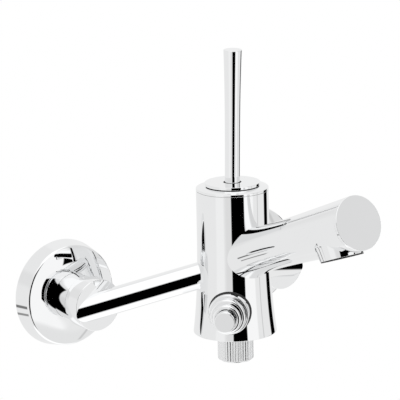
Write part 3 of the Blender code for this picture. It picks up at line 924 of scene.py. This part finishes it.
class MIXER_OT_unions(bpy.types.Operator):
    """The threaded unions that go into the wall"""

    bl_idname = "mixer.unions"
    bl_label = "Wall unions"

    def execute(self, context):
        for side in ("left", "right"):
            inlet = inlet_origin(side)
            self.thread(side, inlet - UP * UNION_DROP * MM, context.scene.mixer_sizes)
            self.head(side, inlet)
        return {"FINISHED"}

    def thread(self, side, centre, sizes):
        """A thread is r - d |2 frac(h / p - t / tau) - 1| round the spigot, faded out at both ends."""
        node = f"eccentric_union_{side}"
        start, end, around = -node_box(node)[1][1] / MM, -1.2, 96
        heights = np.linspace(start, end, 130)
        outline = np.stack([np.full(len(heights), THREAD_R), heights], axis=1)
        rings = turned_rings(outline, centre, OUT, around)
        angle = np.linspace(0, TAU, around, endpoint=False)[None, :]
        phase = (heights[:, None] * MM / sizes.thread_pitch - angle / TAU) % 1.0
        fade = np.clip(np.minimum(heights - start, end - heights) / 1.5, 0.0, 1.0)[:, None]
        cut = sizes.thread_depth * np.abs(2 * phase - 1) * fade + (1 - fade) * sizes.thread_depth * 0.9
        rings = rings - cut[..., None] * outward(rings, centre, 1)
        bore = turned_rings([(UNION_BORE_R, end), (UNION_BORE_R, start)], centre, OUT, around)
        hoop(f"wall_thread_{side}", np.concatenate([rings, bore]), "brass", (node,))

    def head(self, side, inlet):
        node = f"eccentric_union_{side}"
        front = -node_box(node)[0][1] / MM
        corners = [(8.2, -1.0), (13.2, -1.0), (13.2, front), (8.2, front), (8.2, -1.0)]
        outline = rounded(corners, [0.5, 0.5, 0.3])[:-1]
        turned_ring(f"union_head_{side}", outline, inlet, OUT, "brass", (node,), 96)


class MIXER_OT_inner_finishes(bpy.types.Operator):
    """Finishes for the frame's own pieces that stay: seals, cartridge, spindle, spring"""

    bl_idname = "mixer.inner_finishes"
    bl_label = "Inner finishes"

    def execute(self, context):
        slots = {part["node"]: part["material_slot"] for part in frame["record"]["subparts"]}
        for name, item in frame["nodes"].items():
            item.data.materials.clear()
            item.data.materials.append(finish(slots[name]))
        return {"FINISHED"}


def glow(name, strength):
    """A material that only gives off white light, so that the floor shows no shadow edge."""
    material = bpy.data.materials.new(name)
    material.use_nodes = True
    tree = material.node_tree
    tree.nodes.clear()
    emission = tree.nodes.new("ShaderNodeEmission")
    emission.inputs["Strength"].default_value = strength
    output = tree.nodes.new("ShaderNodeOutputMaterial")
    tree.links.new(emission.outputs["Emission"], output.inputs["Surface"])
    return material


class MIXER_OT_stage(bpy.types.Operator):
    """Pale floor, soft studio light and the camera"""

    bl_idname = "mixer.stage"
    bl_label = "Stage"

    def execute(self, context):
        stage = context.scene.mixer_stage
        self.floor(stage)
        self.light(context.scene)
        self.camera(context.scene, stage)
        return {"FINISHED"}

    def floor(self, stage):
        mesh = bpy.data.meshes.new("floor")
        reach = 12.0
        corners = [(-reach, -reach), (reach, -reach), (reach, reach), (-reach, reach)]
        mesh.from_pydata([(x, y, stage.floor) for x, y in corners], [], [(0, 1, 2, 3)])
        mesh.materials.append(glow("floor_white", 1.0))
        floor = bpy.data.objects.new("floor", mesh)
        bpy.context.scene.collection.objects.link(floor)
        floor.visible_glossy = False

    def light(self, scene):
        """A pale dome of light with soft-edged patches. The camera itself sees plain white."""
        graph = Graph(bpy.data.worlds.new("studio"))
        direction = graph.node("ShaderNodeTexCoord")
        axes = [graph.node("ShaderNodeSeparateXYZ", None, {0: direction}, output=k) for k in range(3)]
        degrees = 180 / math.pi
        turn = axes[0].math("ARCTAN2", 0.0 - axes[1]) * degrees
        rise = axes[2].math("ARCSINE", 0.0) * degrees
        shade = 0.0 * turn + DOME_LIGHT
        for value, turns, rises, soft in PATCHES:
            mask = graph.between(turn, turns, soft) * graph.between(rise, rises, soft)
            shade = shade + mask * (value - shade)
        seen = graph.node("ShaderNodeLightPath")
        shade = shade + seen * (1.0 - shade)
        colour = graph.node("ShaderNodeCombineColor", None, {0: shade, 1: shade, 2: shade})
        scene.world = graph.set(Color=colour, Strength=1.0)
        scene.view_settings.view_transform = "Standard"

    def camera(self, scene, stage):
        turn, rise = stage.azimuth, stage.elevation
        back = Vector((math.sin(turn) * math.cos(rise), -math.cos(turn) * math.cos(rise), math.sin(rise)))
        right = Vector((math.cos(turn), math.sin(turn), 0))
        up = back.cross(right)
        tilt = math.sin(stage.roll)
        right, up = right - up * tilt, up + right * tilt
        data = bpy.data.cameras.new("camera")
        data.lens, data.sensor_width = stage.lens, 36.0
        camera = bpy.data.objects.new("camera", data)
        scene.collection.objects.link(camera)
        facing = Matrix((right.normalized(), up.normalized(), back)).transposed()
        place = Vector(stage.target) + back * stage.distance
        camera.matrix_world = Matrix.Translation(place) @ facing.to_4x4()
        scene.camera = camera


OPERATORS = (
    MIXER_OT_inner_finishes,
    MIXER_OT_wall_covers,
    MIXER_OT_supply_arms,
    MIXER_OT_column,
    MIXER_OT_lever,
    MIXER_OT_spout,
    MIXER_OT_aerator,
    MIXER_OT_diverter,
    MIXER_OT_outlet,
    MIXER_OT_unions,
    MIXER_OT_stage,
)


class MIXER_PT_panel(bpy.types.Panel):
    """Lists the pieces"""

    bl_idname = "MIXER_PT_panel"
    bl_label = "Bath Mixer"
    bl_space_type = "VIEW_3D"
    bl_region_type = "UI"
    bl_category = "Bath Mixer"

    def draw(self, context):
        for group in (context.scene.mixer_finishes, context.scene.mixer_sizes, context.scene.mixer_stage):
            for name in group.__annotations__:
                self.layout.prop(group, name)
        for operator in OPERATORS:
            self.layout.operator(operator.bl_idname)


GROUPS = {"mixer_finishes": MixerFinishes, "mixer_sizes": MixerSizes, "mixer_stage": MixerStage}


def register():
    for cls in (*GROUPS.values(), *OPERATORS, MIXER_PT_panel):
        bpy.utils.register_class(cls)
    for name, cls in GROUPS.items():
        setattr(bpy.types.Scene, name, PointerProperty(type=cls))


def unregister():
    for name in GROUPS:
        delattr(bpy.types.Scene, name)
    for cls in (MIXER_PT_panel, *reversed(OPERATORS), *GROUPS.values()):
        bpy.utils.unregister_class(cls)


def main():
    register()
    for operator in OPERATORS:
        group, name = operator.bl_idname.split(".")
        getattr(getattr(bpy.ops, group), name)()


if __name__ == "__main__":
    main()
